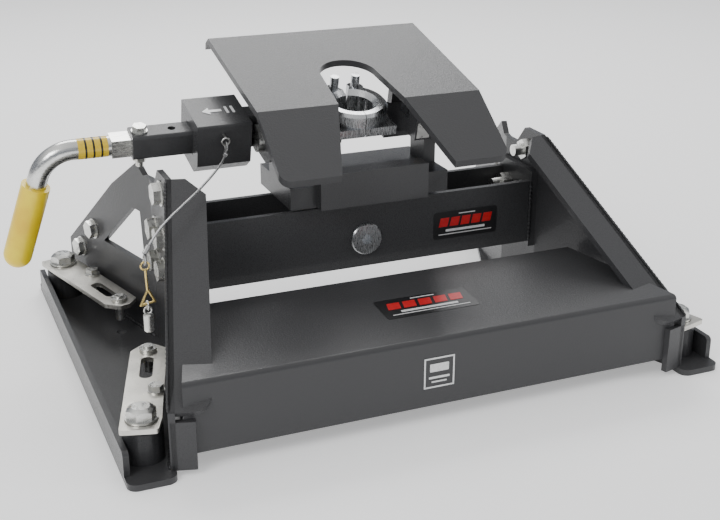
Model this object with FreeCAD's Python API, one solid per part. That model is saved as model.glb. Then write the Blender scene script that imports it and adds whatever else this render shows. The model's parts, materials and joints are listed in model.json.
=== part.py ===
import FreeCAD, Part
import math
import os

# Fifth wheel hitch on four truck-bed anchors.  Millimetres.
# +X is the truck's passenger side, +Y its front, +Z up; the origin is the middle of the anchor
# pattern, level with the underside of the base rails.

V = FreeCAD.Vector
os.makedirs("parts", exist_ok=True)

# ---- driving dimensions -------------------------------------------------------------------
half_width = 392.0          # outer face of a base rail
foot_width = 57.0
half_depth = 315.0
rail_t = 8.0
lip_height = 38.0
plate_t = 8.0               # uprights, flaps, side plates
web_x = 270.0               # outer face of an upright's middle panel
web_end_x = 341.0           # outer face of an upright at its ends
web_mid_y = 46.0
web_end_y = 300.0
web_top = 264.0
web_end_top = 80.0
slide_gap = 238.0           # the upright dips here, under the slide tube
flange_w = 50.0
beam_half = 45.0            # pivot beam, an open-topped channel along X
beam_bottom = 108.0
beam_top = 198.0
side_pivot_z = 148.0        # side-to-side pivot, along Y
side_pin_r = 19.0
tray_back_y = -120.0
tray_top = 122.0
tray_front_top = 112.0
tray_bottom = 24.0
head_pivot_z = 290.0        # fore-and-aft pivot, along X
head_tilt = 14.0            # the head rests with its rear edge down
skid_half = 154.0
skid_top = 66.0             # above the head pivot
skid_rear = -50.0
skid_front = 168.0
skid_t = 9.0
throat_half = 46.0
ramp_y = -153.0
ramp_z = 25.0
king_y = 5.0                # king-pin centre in the head's own frame
king_r = 25.8               # takes a 50.8 mm king pin
jaw_r = 45.0
jaw_low = 8.0
jaw_high = 39.0
jaw_pivot_x = 15.0
jaw_pivot_y = 42.0
latch_y = 40.0              # the slide's centre line in the head's own frame
latch_z = -11.0
bar_half = 8.0
handle_bolt_x = -280.0
slide_size = 33.0
anchor_x = 361.0
anchor_y = 256.0
anchor_bolt_r = 10.0
lock_z = 50.0
lock_t = 6.0
lock_turn = math.degrees(math.atan2(web_end_x - web_x, web_end_y - web_mid_y))
running = 0.05              # radial clearance of a turning fit


# ---- helpers ------------------------------------------------------------------------------
def box(x0, x1, y0, y1, z0, z1):
    return Part.makeBox(x1 - x0, y1 - y0, z1 - z0, V(x0, y0, z0))


def rod(radius, start, end):
    a, b = V(*start), V(*end)
    return Part.makeCylinder(radius, (b - a).Length, a, b - a)


def prism(points, push):
    loop = [V(*p) for p in points]
    return Part.Face(Part.makePolygon(loop + loop[:1])).extrude(V(*push))


def along_x(points, x0, x1):
    return prism([(x0, y, z) for y, z in points], (x1 - x0, 0, 0))


def along_z(points, z0, z1):
    return prism([(x, y, z0) for x, y in points], (0, 0, z1 - z0))


def mirror_x(shape):
    return shape.mirror(V(0, 0, 0), V(1, 0, 0))


def mirror_y(shape):
    return shape.mirror(V(0, 0, 0), V(0, 1, 0))


def hexagon(across, start, end):
    """A hexagonal bar from start to end, across the flats."""
    a, b = V(*start), V(*end)
    r = across / math.sqrt(3)
    loop = [V(r * math.cos(math.radians(60 * i)), r * math.sin(math.radians(60 * i)), 0) for i in range(6)]
    bar = Part.Face(Part.makePolygon(loop + loop[:1])).extrude(V(0, 0, (b - a).Length))
    bar.Placement = FreeCAD.Placement(a, FreeCAD.Rotation(V(0, 0, 1), b - a))
    return bar


def screw(radius, start, direction, grip):
    """A hex bolt through grip millimetres, its head at start and its nut at the far side."""
    d = V(*direction).normalize()
    a = V(*start)
    head = hexagon(3.2 * radius, a - d * 1.3 * radius, a)
    washer = rod(2.1 * radius, a, a + d * 2)
    shank = rod(radius, a, a + d * (grip + 3.4 * radius))
    nut = hexagon(3.2 * radius, a + d * grip, a + d * (grip + 1.7 * radius))
    return head.fuse([washer, shank, nut]).removeSplitter()


def fillet_where(shape, radius, wanted):
    edges = [e for e in shape.Edges if wanted(e)]
    return shape.makeFillet(radius, edges) if edges else shape


def upright_edge(x_wanted, y_wanted):
    """Picks edges parallel to Z that stand at the given places."""
    def test(edge):
        a, b = edge.Vertexes[0].Point, edge.Vertexes[-1].Point
        straight = abs(a.x - b.x) < 0.01 and abs(a.y - b.y) < 0.01 and abs(a.z - b.z) > 1
        return straight and x_wanted(a.x) and y_wanted(a.y)
    return test


def head_frame(shape):
    """Puts a shape of the head's own frame where the head rests."""
    placed = shape.copy()
    placed.translate(V(0, 0, head_pivot_z))
    placed.rotate(V(0, 0, head_pivot_z), V(1, 0, 0), head_tilt)
    return placed


def save(name, shape):
    if not shape.isValid():
        print("NOT VALID", name)
    shape.exportStep("parts/" + name + ".step")


def group(shapes):
    return Part.makeCompound(shapes)


# ---- base ---------------------------------------------------------------------------------
def base_rail():
    """Left rail: a floor plate with two long feet and an upturned outer lip."""
    inner = -half_width + foot_width
    outline = [(-half_width, -half_depth), (inner, -half_depth), (inner, -half_depth + 40),
               (-web_x + 6, -web_mid_y - 60), (-web_x + 6, web_mid_y + 60), (inner, half_depth - 40),
               (inner, half_depth), (-half_width, half_depth)]
    floor = along_z(outline, 0, rail_t)
    corners = upright_edge(lambda x: x < inner + 1, lambda y: abs(y) > half_depth - 1)
    floor = fillet_where(floor, 12, corners)
    lip_length = half_depth - 22
    lip = box(-half_width, -half_width + 7, -lip_length, lip_length, 0, lip_height)
    lip = lip.makeFillet(6, [e for e in lip.Edges if e.BoundBox.ZMin > lip_height - 1 and e.BoundBox.XLength > 5])
    rail = floor.fuse(lip)
    for y in (-anchor_y, anchor_y):
        rail = rail.cut(rod(anchor_bolt_r + 0.5, (-anchor_x, y, -1), (-anchor_x, y, 20)))
        lock_end = lock_tip(y)
        rail = rail.cut(rod(7, (lock_end.x, lock_end.y, -1), (lock_end.x, lock_end.y, 20)))
    return rail.removeSplitter()


def lock_tip(y):
    """Centre of the lock pin at the far end of the lock plate on the bolt at this y, left side."""
    reach = 176.0
    turn = math.radians(lock_turn)
    side = -1 if y > 0 else 1
    return V(-anchor_x + reach * math.sin(turn), y + side * reach * math.cos(turn), lock_z)


def plan_panel(p0, p1, thickness, z_profile):
    """A vertical panel whose outer face runs from p0 to p1 in plan, cut to a profile (along, z)."""
    run = V(p1[0] - p0[0], p1[1] - p0[1], 0)
    unit = V(run).normalize()
    inward = V(unit.y, -unit.x, 0)
    loop = [V(p0[0], p0[1], 0) + unit * s + V(0, 0, z) for s, z in z_profile]
    face = Part.Face(Part.makePolygon(loop + loop[:1]))
    return face.extrude(inward * thickness)


def fold_wedge(side, top):
    """Fills the inside of a fold between the left middle panel and a wing; side -1 is the rear one."""
    out = wing_normal()
    fold = (-web_x, side * web_mid_y)
    panel_inside = (-web_x + plate_t, side * web_mid_y)
    wing_inside = (-web_x - out.x * plate_t, side * (web_mid_y - out.y * plate_t))
    return along_z([fold, panel_inside, wing_inside], rail_t, top)


def upright():
    """Left upright: a middle panel and two wings that spread to the feet."""
    wing = math.hypot(web_end_x - web_x, web_end_y - web_mid_y)
    low = rail_t
    middle = plan_panel((-web_x, -web_mid_y), (-web_x, web_mid_y), plate_t,
                        [(0, low), (2 * web_mid_y, low), (2 * web_mid_y, slide_gap), (64, slide_gap),
                         (42, web_top), (0, web_top)])
    rear = plan_panel((-web_end_x, -web_end_y), (-web_x, -web_mid_y), plate_t,
                      [(0, low), (wing, low), (wing, web_top), (0, web_end_top)])
    front = plan_panel((-web_x, web_mid_y), (-web_end_x, web_end_y), plate_t,
                       [(0, low), (wing, low), (wing, web_end_top), (110, 204), (34, 252), (16, slide_gap), (0, slide_gap)])
    hole = [(0.10 * wing, 108), (0.56 * wing, 108), (0.20 * wing, 184), (0.12 * wing, 184)]
    front_hole = plan_panel((-web_x - 20, web_mid_y - 5), (-web_end_x - 20, web_end_y - 5), 60, hole)
    body = middle.fuse([rear, front, fold_wedge(-1, web_top), fold_wedge(1, slide_gap)]).cut(front_hole)
    for y, z in beam_bolt_places():
        body = body.cut(rod(8.3, (-web_x - 5, y, z), (-web_x + 15, y, z)))
    body = body.cut(rod(8.3, (-web_x - 5, -20, 238), (-web_x + 15, -20, 238)))
    for along, z in wing_bolt_places():
        p = wing_point(along, z)
        out = wing_normal()
        body = body.cut(rod(7.3, tuple(p - out * 12), tuple(p + out * 12)))
    return body.removeSplitter()


def upright_flange():
    """Left upright's rear flange, welded along the sloped edge, and the short return below it."""
    wing = math.hypot(web_end_x - web_x, web_end_y - web_mid_y)
    rise = web_top - web_end_top
    bite = 2.0
    length = math.hypot(wing, rise)
    flange = box(bite, flange_w, 0, length, -plate_t, 0)
    flange = fillet_where(flange, 24, lambda e: e.BoundBox.ZLength > 5 and e.BoundBox.XMin > flange_w - 1
                          and e.BoundBox.YMax < 1)
    top_corner = [(flange_w + 1, length + 1), (flange_w + 1, length - 26), (flange_w - 26, length + 1)]
    flange = flange.cut(along_z(top_corner, -plate_t - 1, 1))
    flange.rotate(V(0, 0, 0), V(1, 0, 0), math.degrees(math.atan2(rise, wing)))
    flange.rotate(V(0, 0, 0), V(0, 0, 1), -lock_turn)
    flange.translate(V(-web_end_x, -web_end_y, web_end_top))
    lower = box(bite, 30, 0, plate_t, rail_t, web_end_top - 12)
    lower.rotate(V(0, 0, 0), V(0, 0, 1), -lock_turn)
    lower.translate(V(-web_end_x, -web_end_y, 0))
    return group([flange, lower])


def beam_bolt_places():
    return [(-20, 178), (20, 178), (-20, 134), (20, 134)]


def wing_bolt_places():
    return [(178, 118), (222, 78)]


def wing_point(along, z):
    """A point on the outer face of the left front wing."""
    turn = math.radians(lock_turn)
    return V(-web_x - along * math.sin(turn), web_mid_y + along * math.cos(turn), z)


def wing_normal():
    turn = math.radians(lock_turn)
    return V(-math.cos(turn), -math.sin(turn), 0)


def wing_bolts():
    bolts = []
    for along, z in wing_bolt_places():
        p = wing_point(along, z) + wing_normal() * 2
        bolts.append(screw(7, tuple(p), tuple(-wing_normal()), 2 + plate_t))
    return group(bolts + [mirror_x(b) for b in bolts])


def cross_member():
    """Rear tray: a folded plate between the uprights, open underneath and at the front."""
    t = 7.0
    front = -half_depth + 15
    turn = [(front, tray_bottom), (front, tray_front_top), (tray_back_y, tray_top),
            (tray_back_y, tray_top - 34), (tray_back_y - t, tray_top - 34),
            (tray_back_y - t, tray_top - t), (front + t, tray_front_top - t), (front + t, tray_bottom)]
    span = web_end_x
    tray = along_x(turn, -span, span)
    tray = fillet_where(tray, 6, lambda e: e.BoundBox.XLength > 600 and e.BoundBox.ZMin > tray_front_top - 1
                        and e.BoundBox.YMax < front + 1)
    for side in (-1, 1):
        cheek = [(side * (web_end_x - 12), -web_end_y - 20), (side * (web_x - 8 - 20), -web_mid_y + 30),
                 (side * 500, -web_mid_y + 30), (side * 500, -web_end_y - 20)]
        tray = tray.cut(along_z(cheek, 0, 200))
    return tray


def beam():
    wall = 8.0
    end = web_x - plate_t - 10
    outer = box(-end, end, -beam_half, beam_half, beam_bottom, beam_top)
    inner = box(-end - 1, end + 1, -beam_half + wall, beam_half - wall, beam_bottom + wall, beam_top + 1)
    channel = outer.cut(inner)
    pivot = rod(side_pin_r + running, (0, -60, side_pivot_z), (0, 60, side_pivot_z))
    return channel.cut(pivot)


def beam_end_plates():
    plates = []
    for side in (-1, 1):
        near = side * (web_x - plate_t)
        far = side * (web_x - plate_t - 10)
        plate = box(min(near, far), max(near, far), -web_mid_y, web_mid_y, beam_bottom - 8, beam_top + 14)
        for y, z in beam_bolt_places():
            plate = plate.cut(rod(8.3, (-300, y, z), (300, y, z)))
        plates.append(plate)
    return group(plates)


def beam_bolts():
    bolts = []
    for y, z in beam_bolt_places():
        left = screw(8, (-web_x - 2, y, z), (1, 0, 0), plate_t + 12)
        bolts += [left, mirror_x(left)]
    return group(bolts)


def top_bolts():
    left = screw(8, (-web_x - 2, -20, 238), (1, 0, 0), plate_t + 2)
    return group([left, mirror_x(left)])


def side_pivot_pin():
    """Fore-and-aft pin through the beam, with a socketed disc head at the rear."""
    pin = rod(side_pin_r, (0, -beam_half, side_pivot_z), (0, beam_half + 6, side_pivot_z))
    disc = rod(22, (0, -beam_half - 5, side_pivot_z), (0, -beam_half, side_pivot_z))
    disc = disc.makeChamfer(1.5, [e for e in disc.Edges if e.BoundBox.YMax < -beam_half - 4])
    socket = hexagon(14, (0, -beam_half - 6, side_pivot_z), (0, -beam_half + 6, side_pivot_z))
    return pin.fuse(disc).cut(socket).removeSplitter()


# ---- anchors and lock plates --------------------------------------------------------------
def four(shape):
    """Copies a near-left piece to the four corners."""
    left = [shape, mirror_y(shape)]
    return left + [mirror_x(s) for s in left]


def anchor_boss():
    boss = rod(24, (-anchor_x, -anchor_y, rail_t), (-anchor_x, -anchor_y, lock_z - 0.5))
    boss = boss.makeFillet(3, [e for e in boss.Edges if e.BoundBox.ZMin > lock_z - 1 and e.Curve.TypeId.endswith("Circle")])
    return boss.cut(rod(anchor_bolt_r + 0.5, (-anchor_x, -anchor_y, 0), (-anchor_x, -anchor_y, 60)))


def anchor_bolt():
    top = lock_z + lock_t + 0.5
    head = hexagon(30, (-anchor_x, -anchor_y, top), (-anchor_x, -anchor_y, top + 16))
    dome = Part.makeSphere(24, V(-anchor_x, -anchor_y, top + 16 - 21.5))
    head = head.common(dome.fuse(box(-500, 500, -500, 500, top - 1, top + 9)))
    shank = rod(anchor_bolt_r, (-anchor_x, -anchor_y, 1), (-anchor_x, -anchor_y, top + 1))
    flange = rod(19, (-anchor_x, -anchor_y, top), (-anchor_x, -anchor_y, top + 2.5))
    return head.fuse([shank, flange]).removeSplitter()


def lock_plate():
    """Near-left lock plate: joggled, slotted, with a pointed end and an upturned tab."""
    long_end = 196.0
    outline = [(-24, -26), (20, -26), (23, 0), (23, long_end - 14), (6, long_end), (-8, long_end), (-22, long_end - 20)]
    plate = along_z(outline, 0, lock_t)
    slot = box(-8, 8, 108, 150, -1, 20).fuse([rod(8, (0, 108, -1), (0, 108, 20)), rod(8, (0, 150, -1), (0, 150, 20))])
    plate = plate.cut(slot).cut(rod(anchor_bolt_r + running, (0, 0, -1), (0, 0, 20)))
    plate = plate.cut(rod(6.3 + running, (0, 176, -1), (0, 176, 20)))
    plate = plate.cut(rod(5.2, (14, 66, -1), (14, 66, 20)))
    plate = fillet_where(plate, 4, upright_edge(lambda x: x > -30, lambda y: y < -25 or y > long_end - 21))
    return place_lock(plate)


def place_lock(shape):
    shape.rotate(V(0, 0, 0), V(0, 0, 1), -lock_turn)
    shape.translate(V(-anchor_x, -anchor_y, lock_z))
    return shape


def lock_pin():
    """Spring plunger at the lock plate's tip: body, collar and nose."""
    body = rod(6.3, (0, 176, -22), (0, 176, 14))
    collar = rod(11, (0, 176, lock_t), (0, 176, lock_t + 5))
    return place_lock(body.fuse(collar).removeSplitter())


def lock_screw():
    return place_lock(screw(5, (14, 66, lock_t + 2), (0, 0, -1), lock_t + 2))


# ---- pivot block --------------------------------------------------------------------------
def pivot_block():
    """Rocks on the beam's pin; its two ears carry the head."""
    saddle = box(-112, 112, -62, 62, 207, 236)
    rib = box(-76, 76, -78, -50, 207, 254)
    lug = box(-42, 42, -beam_half + 9, beam_half - 9, 118, 212)
    lug = fillet_where(lug, 14, lambda e: e.BoundBox.YLength > 50 and e.BoundBox.ZMax < 119)
    block = saddle.fuse([rib, lug])
    for side in (-1, 1):
        x0, x1 = (95, 112) if side > 0 else (-112, -95)
        ear = box(x0, x1, -22, 22, 230, head_pivot_z)
        block = block.fuse([ear, rod(22, (x0, 0, head_pivot_z), (x1, 0, head_pivot_z))])
    block = block.cut(rod(side_pin_r + 4, (0, -80, side_pivot_z), (0, 80, side_pivot_z)))
    block = block.cut(rod(16, (-130, 0, head_pivot_z), (130, 0, head_pivot_z)))
    return block.removeSplitter()


def side_bush():
    tube = rod(side_pin_r + 4, (0, -beam_half + 9, side_pivot_z), (0, beam_half - 9, side_pivot_z))
    return tube.cut(rod(side_pin_r + running, (0, -60, side_pivot_z), (0, 60, side_pivot_z)))


def ear_bushes():
    bushes = []
    for x0, x1 in ((-112, -95), (95, 112)):
        outer = rod(16, (x0, 0, head_pivot_z), (x1, 0, head_pivot_z))
        bushes.append(outer.cut(rod(12.5 + running, (x0 - 1, 0, head_pivot_z), (x1 + 1, 0, head_pivot_z))))
    return group(bushes)


# ---- head ---------------------------------------------------------------------------------
def skid_plate():
    """Top plate with a U-shaped throat, two bent ramps at the rear and a turned-down front lip."""
    sheet = box(-skid_half, skid_half, skid_rear, skid_front, skid_top - skid_t, skid_top)
    low = [(skid_rear, skid_top), (skid_rear, skid_top - skid_t), (ramp_y, ramp_z - skid_t), (ramp_y, ramp_z)]
    ramp = along_x(low, -skid_half, skid_half)
    ramp = fillet_where(ramp, 14, lambda e: e.BoundBox.XLength < 1 and e.BoundBox.YMax < ramp_y + 1)
    lip = along_x([(skid_front, skid_top), (skid_front + 12, skid_top - 12), (skid_front + 12, skid_top - 22),
                   (skid_front, skid_top - skid_t)], -skid_half, skid_half)
    body = sheet.fuse([ramp, lip])
    end_r = 39.0
    end_y = king_y + 26
    throat = along_z([(-77, ramp_y - 1), (77, ramp_y - 1), (throat_half, skid_rear), (end_r, end_y),
                      (-end_r, end_y), (-throat_half, skid_rear)], 0, 100)
    throat = throat.fuse(rod(end_r, (0, end_y, 0), (0, end_y, 100)))
    return body.cut(throat).removeSplitter()


def side_plate():
    """Left cheek under the skid plate, bored for the stub pin."""
    ceiling = skid_top - skid_t - 0.2
    outline = [(-98, 34), (-52, 54.5), (-46, ceiling), (54, ceiling), (18, 0), (8, -24), (-24, -24), (-60, 4)]
    cheek = along_x(outline, -130, -118)
    return cheek.cut(rod(12.5, (-140, 0, 0), (-100, 0, 0)))


def stub_pins():
    left = rod(12.5, (-134, 0, 0), (-93, 0, 0)).fuse(rod(18, (-137, 0, 0), (-130.1, 0, 0))).removeSplitter()
    return group([left, mirror_x(left)])


def jaw_bed():
    """Plate under the jaws with the same open throat."""
    top = jaw_low - 0.4
    right = [(92, -34), (92, 26), (117.8, 26), (117.8, 44), (72, 44), (58, 60)]
    bed = along_z(right + [(-x, y) for x, y in reversed(right)], top - 8, top)
    throat = box(-30, 30, -40, king_y, -40, 40).fuse(rod(30, (0, king_y, -40), (0, king_y, 40)))
    bed = bed.cut(throat)
    for side in (-1, 1):
        bed = bed.cut(rod(6.0, (side * jaw_pivot_x, jaw_pivot_y, -40), (side * jaw_pivot_x, jaw_pivot_y, 40)))
    return bed


def jaw_pins():
    low = jaw_low - 8.4
    left = rod(6.0, (-jaw_pivot_x, jaw_pivot_y, low), (-jaw_pivot_x, jaw_pivot_y, skid_top - skid_t - 0.2))
    return group([left, mirror_x(left)])


def jaw_half():
    """Left jaw: half of the collar that wraps the king pin, with its pivot boss."""
    ring = rod(jaw_r, (0, king_y, jaw_low), (0, king_y, jaw_high))
    ring = ring.makeChamfer(4, [e for e in ring.Edges if e.BoundBox.ZMin > jaw_high - 1])
    boss = rod(12, (-jaw_pivot_x, jaw_pivot_y, jaw_low), (-jaw_pivot_x, jaw_pivot_y, jaw_high))
    squared = box(-44, 0, king_y - 46, king_y - 12, jaw_low, jaw_low + 12)
    jaw = ring.fuse([boss, squared])
    bore = rod(king_r, (0, king_y, -50), (0, king_y, 50))
    cone = Part.makeCone(king_r, king_r + 7, 7, V(0, king_y, jaw_high - 6.5))
    jaw = jaw.cut(bore).cut(cone)
    jaw = jaw.cut(box(-0.4, 80, -80, 80, -50, 80))
    jaw = jaw.cut(along_z([(-0.4, 30.4), (-8, 44), (-4, 60), (10, 60), (10, 30.4)], -50, 80))
    jaw = jaw.cut(rod(6.0 + running, (-jaw_pivot_x, jaw_pivot_y, -50), (-jaw_pivot_x, jaw_pivot_y, 80)))
    return max(jaw.Solids, key=lambda s: s.Volume)


def throat_blocks():
    """Steel wear blocks each side of the throat, between the bed and the skid plate."""
    block = box(-91.5, -78, -33, 22, jaw_low, jaw_high)
    block = block.makeChamfer(3, [e for e in block.Edges if e.BoundBox.ZMin > jaw_high - 1 and e.BoundBox.YMax < -32])
    return group([block, mirror_x(block)])


def slide_guides():
    """Two blocks that hang from the skid plate and guide the lock bar."""
    blocks = []
    gap = bar_half + 0.4
    for x0 in (-92, 76):
        block = box(x0, x0 + 16, latch_y + gap, latch_y + 22, -28, skid_top - skid_t - 0.2)
        foot = box(x0, x0 + 16, latch_y - bar_half, latch_y + 22, -28, latch_z - gap)
        blocks.append(block.fuse(foot).removeSplitter())
    return group(blocks)


def housing_box():
    """Boxed guide on the driver's side that the square tube slides through."""
    reach = 2.5
    half = slide_size / 2 + 0.5
    outer = box(-214, -142, latch_y - 40, latch_y + 42, -50, 24)
    corner = along_x([(latch_y - 41, -51), (latch_y - 22, -51), (latch_y - 41, -32)], -215, -141)
    bore = box(-220, -136, latch_y - half, latch_y + half, latch_z - half, latch_z + half)
    tie = box(-142, -130.1, latch_y - 20, latch_y + 8, 7, 22)
    shell = outer.cut(corner)
    shell = fillet_where(shell, reach, lambda e: e.BoundBox.XLength > 60)
    return shell.fuse(tie).cut(bore).removeSplitter()


def plate_block():
    block = box(62, 116, -62, -38, 6, 40)
    return block.makeChamfer(2, [e for e in block.Edges if e.BoundBox.XLength > 30])


def data_plate():
    return box(64, 82, -63, -62.05, 10, 32)


def eyelet():
    centre = V(-180, latch_y - 50, 6)
    ring = Part.makeTorus(5, 1.2, centre, V(0, 1, 0))
    return ring.fuse(rod(1.6, (-180, latch_y - 50, 11), (-180, latch_y - 40.05, 11))).removeSplitter()


# ---- latch slide and handle ---------------------------------------------------------------
def lock_bar():
    """Steel bar that slides across under the jaws' front ends."""
    bar = box(-200, 92, latch_y - bar_half, latch_y + bar_half, latch_z - bar_half, latch_z + bar_half)
    return bar.makeChamfer(2, [e for e in bar.Edges if e.BoundBox.XMin > 91])


def slide_tube():
    half = slide_size / 2
    tube = box(-292, -124, latch_y - half, latch_y + half, latch_z - half, latch_z + half)
    tube = fillet_where(tube, 4, lambda e: e.BoundBox.XLength > 100)
    hollow = half - 4
    tube = tube.cut(box(-300, -110, latch_y - hollow, latch_y + hollow, latch_z - hollow, latch_z + hollow))
    tube = tube.cut(rod(5, (-238, latch_y, latch_z), (-238, latch_y, latch_z + 30)))
    return tube.cut(rod(5.2, (handle_bolt_x, latch_y, latch_z - 40), (handle_bolt_x, latch_y, latch_z + 40)))


def handle_adaptor():
    half = slide_size / 2 - 4.3
    block = box(-318, -250, latch_y - half, latch_y + half, latch_z - half, latch_z + half)
    return block.cut(rod(5.2, (handle_bolt_x, latch_y, latch_z - 40), (handle_bolt_x, latch_y, latch_z + 40)))


def handle_path():
    bend = 46.0
    lean = math.radians(16)
    start = V(-318, latch_y, latch_z)
    corner = V(-400, latch_y, latch_z)
    down = V(-math.sin(lean), 0, -math.cos(lean))
    turn = math.radians(90) - lean
    tangent = bend * math.tan(turn / 2)
    p1 = corner + V(tangent, 0, 0)
    p2 = corner + down * tangent
    centre = p1 - V(0, 0, bend)
    mid_dir = (corner - centre).normalize()
    middle = centre + mid_dir * bend
    end = corner + down * 150
    edges = [Part.LineSegment(start, p1).toShape(), Part.Arc(p1, middle, p2).toShape(), Part.LineSegment(p2, end).toShape()]
    return Part.Wire(edges), down, end, corner


def handle_tube():
    path, down, end, corner = handle_path()
    profile = Part.Wire(Part.makeCircle(13, V(-318, latch_y, latch_z), V(1, 0, 0)))
    return path.makePipeShell([profile], True, True)


def handle_grip():
    path, down, end, corner = handle_path()
    top = corner + down * 48
    grip = Part.makeCylinder(18.5, 104, top, down)
    grip = grip.fuse(Part.makeSphere(18.5, top + down * 104))
    grip = grip.cut(Part.makeCylinder(13, 110, top - down, down))
    return grip.removeSplitter()


def handle_bolt():
    return screw(5, (handle_bolt_x, latch_y, latch_z + slide_size / 2 + 2), (0, 0, -1), slide_size + 2)


# ---- lanyard ------------------------------------------------------------------------------
cable_r = 1.5
cable_points = [(-180, -12, 281), (-192, -38, 276), (-215, -68, 269), (-240, -95, 261), (-266, -114, 251),
                (-290, -130, 240), (-310, -145, 228), (-324, -154, 212)]


def cable():
    """Steel cable: straight runs joined by arcs as large as the runs allow."""
    points = [V(*p) for p in cable_points]
    edges = []
    last = points[0]
    for before, here, after in zip(points, points[1:], points[2:]):
        a, b = here - before, after - here
        turn = a.getAngle(b)
        cut = 0.45 * min(a.Length, b.Length)
        radius = cut / math.tan(turn / 2)
        print("cable radius %.1f at turn %.1f" % (radius, math.degrees(turn)))
        start = here - V(a).normalize() * cut
        stop = here + V(b).normalize() * cut
        inward = (V(b).normalize() - V(a).normalize()).normalize()
        middle = here + inward * (radius / math.cos(turn / 2) - radius)
        edges.append(Part.LineSegment(last, start).toShape())
        edges.append(Part.Arc(start, middle, stop).toShape())
        last = stop
    edges.append(Part.LineSegment(last, points[-1]).toShape())
    path = Part.Wire(edges)
    profile = Part.Wire(Part.makeCircle(cable_r, points[0], points[1] - points[0]))
    tube = path.makePipeShell([profile], True, True)
    print("cable length %.1f volume ratio %.4f" % (path.Length, tube.Volume / (path.Length * math.pi * cable_r ** 2)))
    return tube


def ferrule(start, toward, eye_height):
    """A crimped sleeve on the cable's end, with the eye that it closes."""
    a, b = V(*start), V(*toward)
    d = (b - a).normalize()
    eye = Part.makeTorus(5.5, 1.2, V(a.x, a.y, a.z + eye_height), V(1, 0, 0))
    return Part.makeCylinder(3, 11, a, d).fuse(eye).removeSplitter()


def bent_wire(points, radius):
    """A bent wire: rods with a ball at each corner."""
    rods = [rod(radius, a, b) for a, b in zip(points, points[1:])]
    balls = [Part.makeSphere(radius, V(*p)) for p in points[1:-1]]
    return rods[0].fuse(rods[1:] + balls).removeSplitter()


def lanyard_clip():
    x, y, z = cable_points[-1]
    ring = Part.makeTorus(5, 1.2, V(x, y, z - 15), V(0, 1, 0))
    stem = [(x, y, z - 20), (x + 1, y, z - 46), (x - 8, y, z - 64), (x + 9, y, z - 61), (x + 2, y, z - 46)]
    return ring.fuse(bent_wire(stem, 1.5)).removeSplitter()


def lanyard_link():
    x, y, z = cable_points[-1]
    return Part.makeTorus(5, 1.2, V(x, y, z - 64.8), V(1, 0, 0))


def lanyard_pin():
    x, y, z = cable_points[-1]
    body = rod(6, (x, y, z - 98), (x, y, z - 76))
    body = body.makeChamfer(1.2, [e for e in body.Edges if e.BoundBox.ZLength < 0.1])
    ring = Part.makeTorus(4.5, 1.2, V(x, y, z - 71.1), V(0, 1, 0))
    return body.fuse(ring).removeSplitter()


# ---- everything ---------------------------------------------------------------------------
def main():
    root = {
        "base_rail_left": base_rail(), "base_rail_right": mirror_x(base_rail()),
        "upright_left": upright(), "upright_right": mirror_x(upright()),
        "upright_flange_left": upright_flange(), "upright_flange_right": mirror_x(upright_flange()),
        "rear_cross_member": cross_member(), "pivot_beam": beam(), "beam_end_plates": beam_end_plates(),
        "beam_bolts": beam_bolts(), "upright_top_bolts": top_bolts(), "wing_bolts": wing_bolts(),
        "side_pivot_pin": side_pivot_pin(),
        "anchor_bosses": group(four(anchor_boss())), "anchor_bolts": group(four(anchor_bolt())),
        "pivot_block": pivot_block(), "side_pivot_bush": side_bush(), "ear_bushes": ear_bushes(),
    }
    corners = ("rear_left", "front_left", "rear_right", "front_right")
    for corner, plate, pin, small in zip(corners, four(lock_plate()), four(lock_pin()), four(lock_screw())):
        root["lock_plate_" + corner] = plate
        root["lock_pin_" + corner] = pin
        root["lock_screw_" + corner] = small
    head = {
        "skid_plate": skid_plate(), "side_plate_left": side_plate(), "side_plate_right": mirror_x(side_plate()),
        "stub_pins": stub_pins(), "jaw_bed": jaw_bed(), "jaw_pins": jaw_pins(),
        "jaw_left": jaw_half(), "jaw_right": mirror_x(jaw_half()), "throat_blocks": throat_blocks(),
        "slide_guides": slide_guides(), "slide_housing": housing_box(), "plate_block": plate_block(),
        "data_plate": data_plate(), "lanyard_eyelet": eyelet(), "lock_bar": lock_bar(),
        "slide_tube": slide_tube(), "handle_adaptor": handle_adaptor(), "handle_tube": handle_tube(),
        "handle_grip": handle_grip(), "handle_bolt": handle_bolt(),
    }
    lanyard = {
        "lanyard_cable": cable(), "lanyard_ferrule_top": ferrule(cable_points[0], cable_points[1], 6.0),
        "lanyard_ferrule_low": ferrule(cable_points[-1], cable_points[-2], -7.7),
        "lanyard_clip": lanyard_clip(), "lanyard_link": lanyard_link(), "lanyard_pin": lanyard_pin(),
    }
    for name, shape in root.items():
        save(name, shape)
    for name, shape in head.items():
        save(name, head_frame(shape))
    for name, shape in lanyard.items():
        save(name, shape)


main()
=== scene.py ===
import bpy
import bmesh
import json
import math
from mathutils import Matrix, Vector


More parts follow.
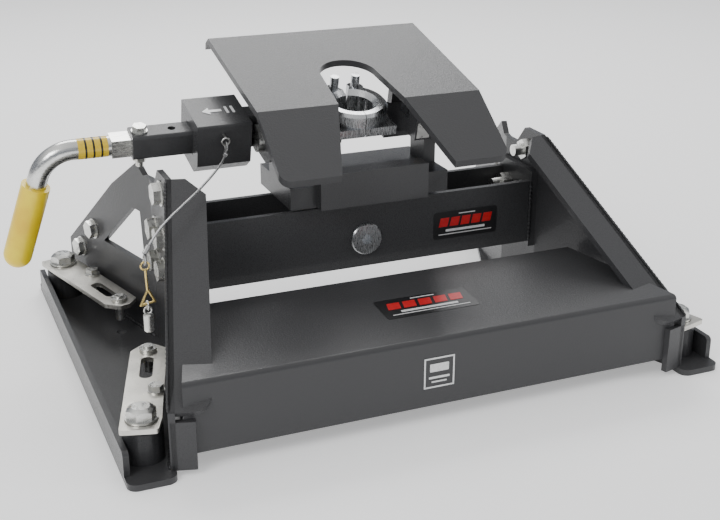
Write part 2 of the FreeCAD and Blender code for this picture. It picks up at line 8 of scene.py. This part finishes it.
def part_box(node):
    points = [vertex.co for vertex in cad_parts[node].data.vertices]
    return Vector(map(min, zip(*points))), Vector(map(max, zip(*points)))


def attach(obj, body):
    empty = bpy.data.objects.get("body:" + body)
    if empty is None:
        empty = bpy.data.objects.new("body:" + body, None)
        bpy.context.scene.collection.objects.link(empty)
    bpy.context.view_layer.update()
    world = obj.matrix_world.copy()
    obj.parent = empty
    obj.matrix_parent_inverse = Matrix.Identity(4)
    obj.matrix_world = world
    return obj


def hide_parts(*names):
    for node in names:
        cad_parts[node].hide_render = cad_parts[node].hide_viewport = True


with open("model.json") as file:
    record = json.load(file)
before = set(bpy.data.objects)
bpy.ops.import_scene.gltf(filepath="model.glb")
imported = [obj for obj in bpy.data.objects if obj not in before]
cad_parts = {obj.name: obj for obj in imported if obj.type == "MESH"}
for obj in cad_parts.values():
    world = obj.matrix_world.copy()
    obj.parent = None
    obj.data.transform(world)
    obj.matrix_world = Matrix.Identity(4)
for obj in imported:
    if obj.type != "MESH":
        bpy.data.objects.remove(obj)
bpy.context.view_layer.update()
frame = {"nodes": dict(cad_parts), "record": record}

# The head's own frame, tilted with the rear edge down about the fore-and-aft pivot.
HEAD_PIVOT = Vector((0, 0, 0.290))
HEAD_TILT = Matrix.Rotation(math.radians(14), 4, "X")

# Metres, as in the CAD: an upright's outer face at its ends and at its middle panel, how far along
# the truck each lies, the beam's end, the inside of a cheek, and the slide's centre line.
UPRIGHT_END_X, UPRIGHT_END_Y = 0.341, 0.300
UPRIGHT_MID_X, UPRIGHT_MID_Y = 0.270, 0.046
BEAM_END = 0.252
BEAM_SIDE = 0.0455
CHEEK_INSIDE = 0.116
SLIDE_Y, SLIDE_Z = 0.040, -0.011
HANDLE_R = 0.013
LABEL_START, LABEL_END = -0.322, -0.360
LAMP_TARGET = Vector((0, 0, 0.2))
EYE = (-0.5908, -1.4535, 0.7173)
LENS_MM = 60.35


def head_point(x, y, z):
    """A point of the head's own frame, in metres, where the head rests."""
    return HEAD_TILT @ Vector((x, y, z)) + HEAD_PIVOT


# ---- materials ------------------------------------------------------------------------------
def new_material(name, colour, roughness, metallic=0.0, coat=0.0, gloss=0.5):
    material = bpy.data.materials.new(name)
    material.use_nodes = True
    shader = material.node_tree.nodes["Principled BSDF"]
    shader.inputs["Base Color"].default_value = (*colour, 1)
    shader.inputs["Roughness"].default_value = roughness
    shader.inputs["Metallic"].default_value = metallic
    shader.inputs["Coat Weight"].default_value = coat
    shader.inputs["Specular IOR Level"].default_value = gloss
    shader.inputs["Coat Roughness"].default_value = 0.08
    return material, material.node_tree, shader


def noise(tree, scale, detail=3.0, stretch=(1, 1, 1)):
    place = tree.nodes.new("ShaderNodeTexCoord")
    mapping = tree.nodes.new("ShaderNodeMapping")
    mapping.inputs["Scale"].default_value = stretch
    texture = tree.nodes.new("ShaderNodeTexNoise")
    texture.inputs["Scale"].default_value = scale
    texture.inputs["Detail"].default_value = detail
    tree.links.new(place.outputs["Object"], mapping.inputs["Vector"])
    tree.links.new(mapping.outputs["Vector"], texture.inputs["Vector"])
    return texture.outputs["Fac"]


def ramp(tree, value, stops):
    node = tree.nodes.new("ShaderNodeValToRGB")
    band = node.color_ramp
    while len(band.elements) < len(stops):
        band.elements.new(0.5)
    for element, (place, colour) in zip(band.elements, stops):
        element.position = place
        element.color = (*colour, 1)
    tree.links.new(value, node.inputs["Fac"])
    return node.outputs["Color"]


def grey(level):
    return (level, level, level)


def bump(tree, shader, height, strength, distance):
    node = tree.nodes.new("ShaderNodeBump")
    node.inputs["Strength"].default_value = strength
    node.inputs["Distance"].default_value = distance
    tree.links.new(height, node.inputs["Height"])
    tree.links.new(node.outputs["Normal"], shader.inputs["Normal"])


def painted_edge_highlight(tree, dark, bright):
    """A pointiness mask of convex edges mixes the bright tone over the dark one: a painted highlight along the
    edges.
    """
    geometry = tree.nodes.new("ShaderNodeNewGeometry")
    mask = ramp(tree, geometry.outputs["Pointiness"], [(0.52, grey(0)), (0.60, grey(1))])
    mix = tree.nodes.new("ShaderNodeMix")
    mix.data_type = "RGBA"
    tree.links.new(mask, mix.inputs["Factor"])
    tree.links.new(dark, mix.inputs["A"])
    mix.inputs["B"].default_value = (*bright, 1)
    return mix.outputs["Result"]


def powder_coat(name, tone, rough):
    """Gloss black powder coat: orange peel, fine speckle and a little dust."""
    material, tree, shader = new_material(name, tone, rough, coat=0.12, gloss=0.32)
    peel = noise(tree, 420, 2)
    speckle = noise(tree, 1500, 1)
    cloud = noise(tree, 9, 4)
    darker = tuple(0.7 * c for c in tone)
    lighter = tuple(1.9 * c + 0.004 for c in tone)
    body = ramp(tree, cloud, [(0.35, darker), (0.7, lighter)])
    # Convex edges are lightened to a dark grey by the pointiness mask: a painted edge highlight.
    tree.links.new(painted_edge_highlight(tree, body, (0.05, 0.05, 0.052)), shader.inputs["Base Color"])
    rough_map = ramp(tree, speckle, [(0.35, grey(rough - 0.08)), (0.68, grey(rough + 0.16))])
    tree.links.new(rough_map, shader.inputs["Roughness"])
    add = tree.nodes.new("ShaderNodeMath")
    add.operation = "MULTIPLY_ADD"
    add.inputs[1].default_value = 0.35
    tree.links.new(speckle, add.inputs[0])
    tree.links.new(peel, add.inputs[2])
    bump(tree, shader, add.outputs[0], 0.55, 0.0006)
    return material


def metal(name, colour, rough, grain=(1, 1, 1), grain_scale=160, relief=0.12):
    material, tree, shader = new_material(name, colour, rough, metallic=1.0)
    streak = noise(tree, grain_scale, 5, grain)
    cloud = noise(tree, 24, 4)
    darker = tuple(0.72 * c for c in colour)
    tree.links.new(ramp(tree, cloud, [(0.3, darker), (0.62, colour)]), shader.inputs["Base Color"])
    tree.links.new(ramp(tree, streak, [(0.3, grey(rough - 0.07)), (0.7, grey(rough + 0.13))]),
                   shader.inputs["Roughness"])
    bump(tree, shader, streak, relief, 0.0003)
    return material


def vinyl():
    material, tree, shader = new_material("yellow_vinyl_dip", (0.93, 0.66, 0.003), 0.34, coat=0.2)
    cloud = noise(tree, 30, 3)
    tree.links.new(ramp(tree, cloud, [(0.3, (0.86, 0.56, 0.002)), (0.65, (0.97, 0.74, 0.006))]),
                   shader.inputs["Base Color"])
    bump(tree, shader, noise(tree, 220, 2), 0.25, 0.0006)
    return material


def printed(name, colour):
    material, tree, shader = new_material(name, colour, 0.35, coat=0.3)
    cloud = noise(tree, 300, 2)
    tree.links.new(ramp(tree, cloud, [(0.3, tuple(0.85 * c for c in colour)), (0.6, colour)]),
                   shader.inputs["Base Color"])
    return material


def twisted_wire():
    material, tree, shader = new_material("stranded_cable", (0.55, 0.56, 0.57), 0.35, metallic=1.0)
    place = tree.nodes.new("ShaderNodeTexCoord")
    wave = tree.nodes.new("ShaderNodeTexWave")
    wave.bands_direction = "DIAGONAL"
    wave.inputs["Scale"].default_value = 260
    tree.links.new(place.outputs["Object"], wave.inputs["Vector"])
    tree.links.new(ramp(tree, wave.outputs["Fac"], [(0.2, grey(0.30)), (0.7, grey(0.68))]),
                   shader.inputs["Base Color"])
    bump(tree, shader, wave.outputs["Fac"], 0.7, 0.0005)
    return material


BLACK = powder_coat("black_powder_coat_gloss", (0.0085, 0.009, 0.0105), 0.30)
# A lighter copy of the gloss black for the top faces: painted sheen, the light those tops catch.
BLACK_SHEEN_TOP = powder_coat("black_powder_coat_painted_sheen", (0.016, 0.0165, 0.0165), 0.38)
WELD = powder_coat("painted_weld", (0.012, 0.012, 0.013), 0.24)
ZINC = metal("bright_zinc_plate", (0.78, 0.78, 0.75), 0.27)
WARM_ZINC = metal("warm_zinc_plate", (0.80, 0.78, 0.72), 0.33, grain=(1, 6, 1))
STEEL = metal("machined_steel_face", (0.62, 0.63, 0.64), 0.24, grain=(8, 1, 1), grain_scale=120, relief=0.2)
TUBE = metal("plated_tube", (0.80, 0.80, 0.78), 0.22, grain=(1, 8, 8), grain_scale=60)
BRONZE = metal("bearing_bronze", (0.62, 0.40, 0.18), 0.35)
GOLD = metal("yellow_zinc_wire", (0.78, 0.60, 0.24), 0.28)
VINYL = vinyl()
CABLE = twisted_wire()
RED = printed("decal_red", (0.62, 0.012, 0.016))
WHITE = printed("decal_white", (0.80, 0.80, 0.80))
DARK = printed("decal_black", (0.010, 0.010, 0.011))
LABEL = printed("label_yellow", (0.80, 0.55, 0.03))

FINISH = {
    "black_powder_coat": BLACK, "zinc_plate": ZINC, "machined_steel": STEEL, "bronze": BRONZE,
    "bright_tube": TUBE, "yellow_vinyl": VINYL, "steel_cable": CABLE, "yellow_zinc": GOLD,
}


def coat_cad_nodes():
    """Gives every CAD node the finish of its record slot, and a few their own."""
    # The skid plate and rear cross member get the lighter black copy, a painted sheen on their tops.
    special = {"skid_plate": BLACK_SHEEN_TOP, "rear_cross_member": BLACK_SHEEN_TOP, "handle_adaptor": TUBE}
    for part in frame["record"]["subparts"]:
        node = part["node"]
        material = special.get(node, FINISH[part["material_slot"]])
        if node.startswith("lock_plate"):
            material = WARM_ZINC
        thing = frame["nodes"][node]
        if not thing.data.materials:
            thing.data.materials.append(material)
        for slot in thing.material_slots:
            slot.material = material


# ---- mesh helpers ---------------------------------------------------------------------------
def finish_mesh(name, bm, material, body, smooth=True):
    mesh = bpy.data.meshes.new(name)
    bmesh.ops.recalc_face_normals(bm, faces=bm.faces)
    bm.to_mesh(mesh)
    bm.free()
    piece = bpy.data.objects.new(name, mesh)
    bpy.context.scene.collection.objects.link(piece)
    mesh.materials.append(material)
    for face in mesh.polygons:
        face.use_smooth = smooth
    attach(piece, body)
    return piece


def flat_shape(name, outline, origin, across, up, lift, material, body):
    """A thin printed shape: an outline in metres on the plane through origin, raised by lift."""
    across, up = Vector(across).normalized(), Vector(up).normalized()
    normal = across.cross(up).normalized()
    bm = bmesh.new()
    low = [bm.verts.new(Vector(origin) + across * a + up * b + normal * (lift - 0.00025)) for a, b in outline]
    high = [bm.verts.new(v.co + normal * 0.0003) for v in low]
    bm.faces.new(high)
    bm.faces.new(list(reversed(low)))
    count = len(low)
    for i in range(count):
        j = (i + 1) % count
        bm.faces.new((low[i], low[j], high[j], high[i]))
    return finish_mesh(name, bm, material, body, smooth=False)


def rounded(width, height, radius, x=0.0, y=0.0, steps=6):
    points = []
    for cx, cy, start in ((1, 1, 0), (-1, 1, 90), (-1, -1, 180), (1, -1, 270)):
        for i in range(steps + 1):
            angle = math.radians(start + 90 * i / steps)
            points.append((x + cx * (width / 2 - radius) + radius * math.cos(angle),
                           y + cy * (height / 2 - radius) + radius * math.sin(angle)))
    return points


def slanted(x, y, width, height, slant):
    return [(x, y), (x + width, y), (x + width + slant, y + height), (x + slant, y + height)]


def bead(name, points, radius, body, turn_step=0.006):
    """A weld bead: a rounded strip whose ripples follow the line."""
    bm = bmesh.new()
    sides = 10
    route = []
    for a, b in zip(points, points[1:]):
        a, b = Vector(a), Vector(b)
        steps = max(2, int((b - a).length / (turn_step / 4)))
        route += [a.lerp(b, i / steps) for i in range(steps)]
    route.append(Vector(points[-1]))
    rings = []
    for i, centre in enumerate(route):
        ahead = (route[min(i + 1, len(route) - 1)] - route[max(i - 1, 0)]).normalized()
        side = ahead.cross(Vector((0.31, 0.12, 0.94))).normalized()
        over = ahead.cross(side)
        ripple = 1 + 0.16 * math.sin(i * math.pi / 2) + 0.07 * math.sin(i * 1.7)
        taper = min(1.0, 0.35 + 0.3 * min(i, len(route) - 1 - i))
        r = radius * ripple * taper
        turns = [2 * math.pi * k / sides for k in range(sides)]
        rings.append([bm.verts.new(centre + (side * math.cos(t) + over * math.sin(t)) * r) for t in turns])
    for one, two in zip(rings, rings[1:]):
        for k in range(sides):
            m = (k + 1) % sides
            bm.faces.new((one[k], one[m], two[m], two[k]))
    bm.faces.new(list(reversed(rings[0])))
    bm.faces.new(rings[-1])
    return finish_mesh(name, bm, WELD, body)


# ---- decals: plain shapes, no lettering -----------------------------------------------------
def banner(name, origin, across, up, width, body):
    """A black sticker with slanted red blocks and a white rule."""
    height = 0.40 * width
    flat_shape(name + "_back", rounded(width, height, 0.004), origin, across, up, 0.0004, DARK, body)
    block = 0.135 * width
    start = -0.42 * width
    for i in range(5):
        shape = slanted(start + i * 0.17 * width, -0.02 * width, block, 0.13 * width, 0.03 * width)
        flat_shape("%s_red_%d" % (name, i), shape, origin, across, up, 0.0008, RED, body)
    rule = rounded(0.62 * width, 0.035 * width, 0.001, 0.0, -0.08 * width)
    flat_shape(name + "_rule", rule, origin, across, up, 0.0008, WHITE, body)
    thin = rounded(0.84 * width, 0.012 * width, 0.0004, 0.0, -0.135 * width)
    flat_shape(name + "_thin_rule", thin, origin, across, up, 0.0008, WHITE, body)
    top = rounded(0.26 * width, 0.014 * width, 0.0004, 0.02 * width, 0.155 * width)
    flat_shape(name + "_top_rule", top, origin, across, up, 0.0008, WHITE, body)


def square_badge(name, origin, across, up, size, body):
    """An outlined square with bars; each edge and bar is given as shares of the size."""
    edges = ((0, 0.47, 1, 0.05), (0, -0.47, 1, 0.05), (-0.475, 0, 0.05, 0.9), (0.475, 0, 0.05, 0.9))
    for i, (x, y, w, h) in enumerate(edges):
        side = rounded(w * size, h * size, 0.008 * size, x * size, y * size)
        flat_shape("%s_edge_%d" % (name, i), side, origin, across, up, 0.0006, WHITE, body)
    for i, (y, w, h) in enumerate(((0.16, 0.62, 0.26), (-0.16, 0.68, 0.07), (-0.30, 0.5, 0.05))):
        bar = rounded(w * size, h * size, 0.02 * size, 0, y * size)
        flat_shape("%s_bar_%d" % (name, i), bar, origin, across, up, 0.0006, WHITE, body)


def pull_arrow():
    """Arrow and bars on top of the slide housing, pointing the way the handle pulls."""
    origin = head_point(-0.178, SLIDE_Y, 0.024)
    across = HEAD_TILT.to_3x3() @ Vector((1, 0, 0))
    up = HEAD_TILT.to_3x3() @ Vector((0, 1, 0))
    arrow = [(-0.020, 0.0), (-0.010, -0.009), (-0.010, -0.003), (0.006, -0.003), (0.006, 0.003),
             (-0.010, 0.003), (-0.010, 0.009)]
    flat_shape("pull_arrow", arrow, origin, across, up, 0.0006, WHITE, "head")
    for i in range(2):
        bar = rounded(0.0035, 0.018, 0.001, 0.013 + 0.008 * i)
        flat_shape("pull_bar_%d" % i, bar, origin, across, up, 0.0006, WHITE, "head")


def all_decals():
    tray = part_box("rear_cross_member")
    front_y, back_y = tray[0][1], tray[1][1]
    front_z = 0.112
    slope = Vector((0, back_y - front_y, 0.122 - front_z)).normalized()
    on_top = Vector((0.012, -0.212, front_z + 0.010 * (-0.212 - front_y) / (back_y - front_y)))
    banner("tray_banner", on_top, (1, 0, 0), slope, 0.125, "root")
    square_badge("rating_badge", (-0.012, front_y, 0.068), (1, 0, 0), (0, 0, 1), 0.040, "root")
    beam_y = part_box("pivot_beam")[0][1]
    banner("beam_banner", (0.150, beam_y, 0.150), (1, 0, 0), (0, 0, 1), 0.098, "root")
    pull_arrow()


def sleeve(name, start, end, inner, outer, material, body):
    """A thin open sleeve round a straight stretch of tube."""
    start, end = Vector(start), Vector(end)
    ahead = (end - start).normalized()
    side = ahead.orthogonal().normalized()
    over = ahead.cross(side)
    sides = 48
    bm = bmesh.new()
    loops = []
    for centre, r in ((start, inner), (start, outer), (end, outer), (end, inner)):
        ring = []
        for k in range(sides):
            angle = 2 * math.pi * k / sides
            ring.append(bm.verts.new(centre + (side * math.cos(angle) + over * math.sin(angle)) * r))
        loops.append(ring)
    for i in range(4):
        one, two = loops[i], loops[(i + 1) % 4]
        for k in range(sides):
            m = (k + 1) % sides
            bm.faces.new((one[k], one[m], two[m], two[k]))
    return finish_mesh(name, bm, material, body, smooth=False)


def handle_label():
    """A yellow sleeve with three dark lines, on the straight part of the handle."""
    start = head_point(LABEL_START, SLIDE_Y, SLIDE_Z)
    end = head_point(LABEL_END, SLIDE_Y, SLIDE_Z)
    sleeve("handle_label", start, end, HANDLE_R + 0.00005, HANDLE_R + 0.00035, LABEL, "latch")
    for i in range(3):
        a = head_point(LABEL_START - 0.007 - 0.010 * i, SLIDE_Y, SLIDE_Z)
        b = head_point(LABEL_START - 0.0095 - 0.010 * i, SLIDE_Y, SLIDE_Z)
        sleeve("handle_label_line_%d" % i, a, b, HANDLE_R + 0.0003, HANDLE_R + 0.0005, DARK,
               "latch")


def welds():
    lean = (UPRIGHT_END_X - UPRIGHT_MID_X) / (UPRIGHT_END_Y - UPRIGHT_MID_Y)
    for side, word in ((-1, "left"), (1, "right")):
        low = Vector((side * 0.3405, -0.300, 0.081))
        high = Vector((side * 0.2705, -0.050, 0.262))
        bead("weld_flange_" + word, [low, high], 0.0017, "root")
        for end, way in (("rear", -1), ("front", 1)):
            foot = [(side * (UPRIGHT_END_X - lean * t + 0.001), way * (UPRIGHT_END_Y - t), 0.0085)
                    for t in (0.004, 0.246)]
            bead("weld_wing_%s_%s" % (end, word), foot, 0.003, "root")
        for label, y in (("weld_beam_", -BEAM_SIDE), ("weld_beam_rear_", BEAM_SIDE)):
            x = side * BEAM_END
            bead(label + word, [(x, y, 0.110), (x, y, 0.197)], 0.0028, "root")
        x = side * CHEEK_INSIDE
        seam = [head_point(x, y, 0.0565) for y in (-0.052, 0.056)]
        bead("weld_cheek_" + word, seam, 0.003, "head")


# ---- lanyard cable --------------------------------------------------------------------------
def lanyard_cable():
    route = [(-0.180, -0.012, 0.281), (-0.192, -0.038, 0.276), (-0.215, -0.068, 0.269), (-0.240, -0.095, 0.261),
             (-0.266, -0.114, 0.251), (-0.290, -0.130, 0.240), (-0.310, -0.145, 0.228), (-0.324, -0.154, 0.212)]
    data = bpy.data.curves.new("lanyard_wire", "CURVE")
    data.dimensions = "3D"
    data.bevel_depth = 0.0015
    data.bevel_resolution = 6
    data.use_fill_caps = True
    spline = data.splines.new("NURBS")
    spline.points.add(len(route) - 1)
    for point, place in zip(spline.points, route):
        point.co = (*place, 1)
    spline.order_u = 3
    spline.use_endpoint_u = True
    spline.resolution_u = 16
    piece = bpy.data.objects.new("lanyard_wire", data)
    bpy.context.scene.collection.objects.link(piece)
    data.materials.append(CABLE)
    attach(piece, "head")
    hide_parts("lanyard_cable")


# ---- studio ---------------------------------------------------------------------------------
def studio():
    floor_mesh = bpy.data.meshes.new("floor")
    reach = 9.0
    corners = [(-reach, -reach, 0), (reach, -reach, 0), (reach, reach, 0), (-reach, reach, 0)]
    floor_mesh.from_pydata(corners, [], [(0, 1, 2, 3)])
    floor = bpy.data.objects.new("floor", floor_mesh)
    bpy.context.scene.collection.objects.link(floor)
    material, tree, shader = new_material("pale_floor", (0.86, 0.86, 0.86), 0.7, gloss=0.1)
    shader.inputs["Emission Color"].default_value = (1, 1, 1, 1)
    shader.inputs["Emission Strength"].default_value = 0.42
    floor_mesh.materials.append(material)
    world = bpy.data.worlds.new("studio")
    bpy.context.scene.world = world
    world.use_nodes = True
    tree = world.node_tree
    back = tree.nodes["Background"]
    place = tree.nodes.new("ShaderNodeTexCoord")
    split = tree.nodes.new("ShaderNodeSeparateXYZ")
    tree.links.new(place.outputs["Generated"], split.inputs["Vector"])
    bands = [(0.0, (0.30, 0.31, 0.34)), (0.35, (0.34, 0.36, 0.40)), (0.8, (1.0, 1.0, 1.0))]
    sky = ramp(tree, split.outputs["Z"], bands)
    tree.links.new(sky, back.inputs["Color"])
    back.inputs["Strength"].default_value = 0.9


def area_light(name, place, size, power):
    """A rectangular lamp aimed at the middle of the hitch."""
    data = bpy.data.lights.new(name, "AREA")
    data.shape = "RECTANGLE"
    data.size, data.size_y = size
    data.energy = power
    lamp = bpy.data.objects.new(name, data)
    lamp.location = place
    lamp.rotation_euler = (LAMP_TARGET - Vector(place)).to_track_quat("-Z", "Y").to_euler()
    bpy.context.scene.collection.objects.link(lamp)


def lights():
    area_light("over_back", (0.3, 1.9, 2.2), (2.4, 1.2), 55)
    area_light("key_left", (-2.2, -1.4, 2.0), (1.2, 1.2), 34)
    area_light("fill_right", (2.4, -1.2, 1.2), (0.8, 1.6), 14)


def camera():
    """Behind the hitch and to the driver's side, looking down."""
    azimuth, elevation = 0.392, 0.375
    level = math.cos(elevation)
    ahead = Vector((math.sin(azimuth) * level, math.cos(azimuth) * level, -math.sin(elevation)))
    data = bpy.data.cameras.new("camera")
    data.sensor_width = 36.0
    data.lens = LENS_MM
    data.clip_start = 0.01
    eye = bpy.data.objects.new("camera", data)
    eye.location = EYE
    eye.rotation_euler = ahead.to_track_quat("-Z", "Y").to_euler()
    bpy.context.scene.collection.objects.link(eye)
    bpy.context.scene.camera = eye


camera()
lanyard_cable()
coat_cad_nodes()
all_decals()
handle_label()
welds()
studio()
lights()
